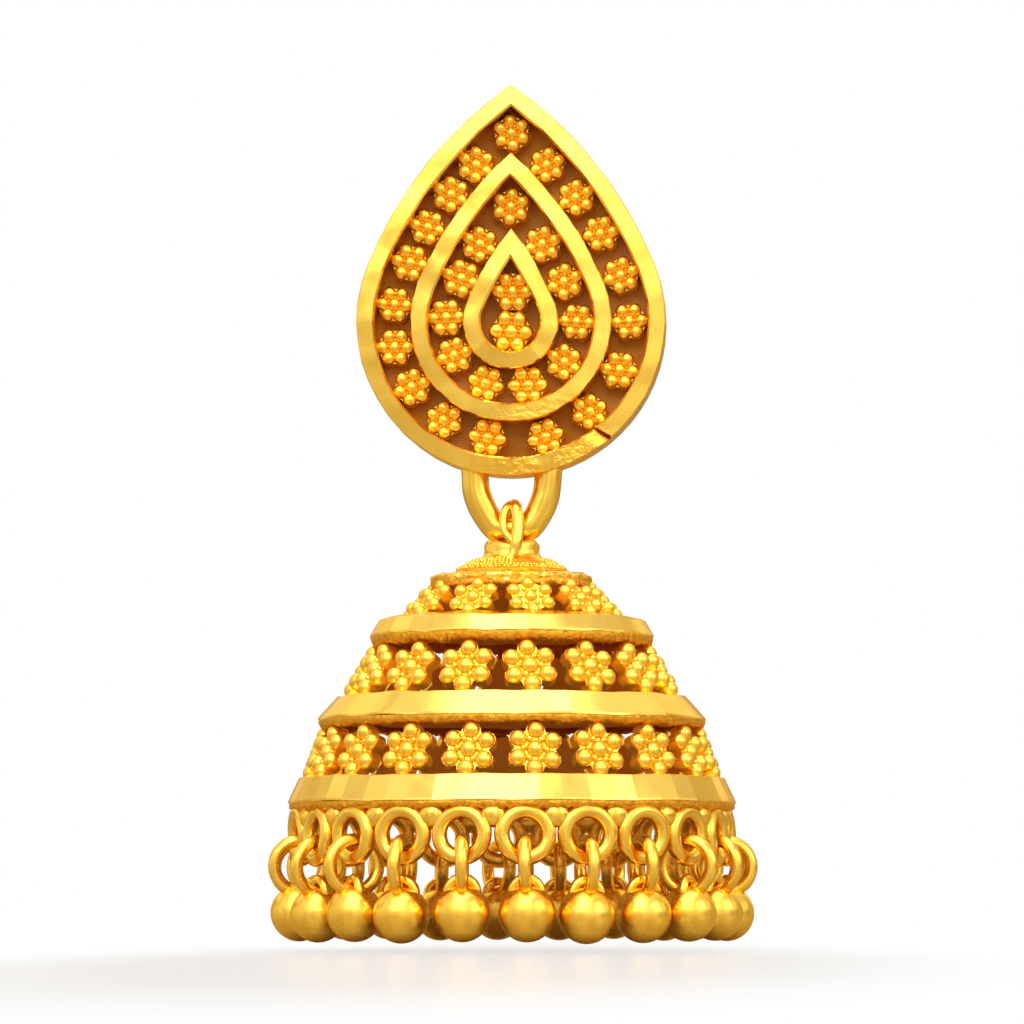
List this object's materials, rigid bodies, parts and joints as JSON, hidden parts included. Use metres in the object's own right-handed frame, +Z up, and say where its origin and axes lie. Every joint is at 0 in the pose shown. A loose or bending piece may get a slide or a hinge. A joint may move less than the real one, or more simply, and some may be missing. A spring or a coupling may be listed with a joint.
{
  "type": "jhumka earring",
  "caption": "Gold drop-shaped ear plate with granulated flowers and a post, and an openwork bell with bands, flowers and a bead fringe that swings from a loop under it.",
  "frame": {"origin": "where the ear post leaves the back of the ear plate, on the post's axis", "axes": "+Z up, the earring's front faces -Y, the post runs along +Y"},
  "size_m": [0.0246, 0.0244, 0.043],
  "materials": {
    "plate_gold": "polished",
    "loop_gold": "satin",
    "bell_gold": "polished",
    "bead_gold": "mirror polished"
  },
  "bodies": {
    "plate": {"ear_plate": "plate_gold", "ear_post": "plate_gold", "hanger_loop": "loop_gold"},
    "bell": {"bell_eye": "bell_gold", "bell_dome": "bell_gold", "drop_01": "bead_gold", "drop_02": "bead_gold", "drop_03": "bead_gold", "drop_04": "bead_gold", "drop_05": "bead_gold", "drop_06": "bead_gold", "drop_07": "bead_gold", "drop_08": "bead_gold", "drop_09": "bead_gold", "drop_10": "bead_gold", "drop_11": "bead_gold", "drop_12": "bead_gold", "drop_13": "bead_gold", "drop_14": "bead_gold", "drop_15": "bead_gold", "drop_16": "bead_gold", "drop_17": "bead_gold", "drop_18": "bead_gold", "drop_19": "bead_gold", "drop_20": "bead_gold", "drop_21": "bead_gold", "drop_22": "bead_gold"}
  },
  "joints": [
    {"name": "bell_swing", "type": "hinge", "parent": "plate", "child": "bell", "pos_m": [0, -0.00125, -0.0132], "axis": [1, 0, 0], "range_deg": [-60, 60]}
  ]
}
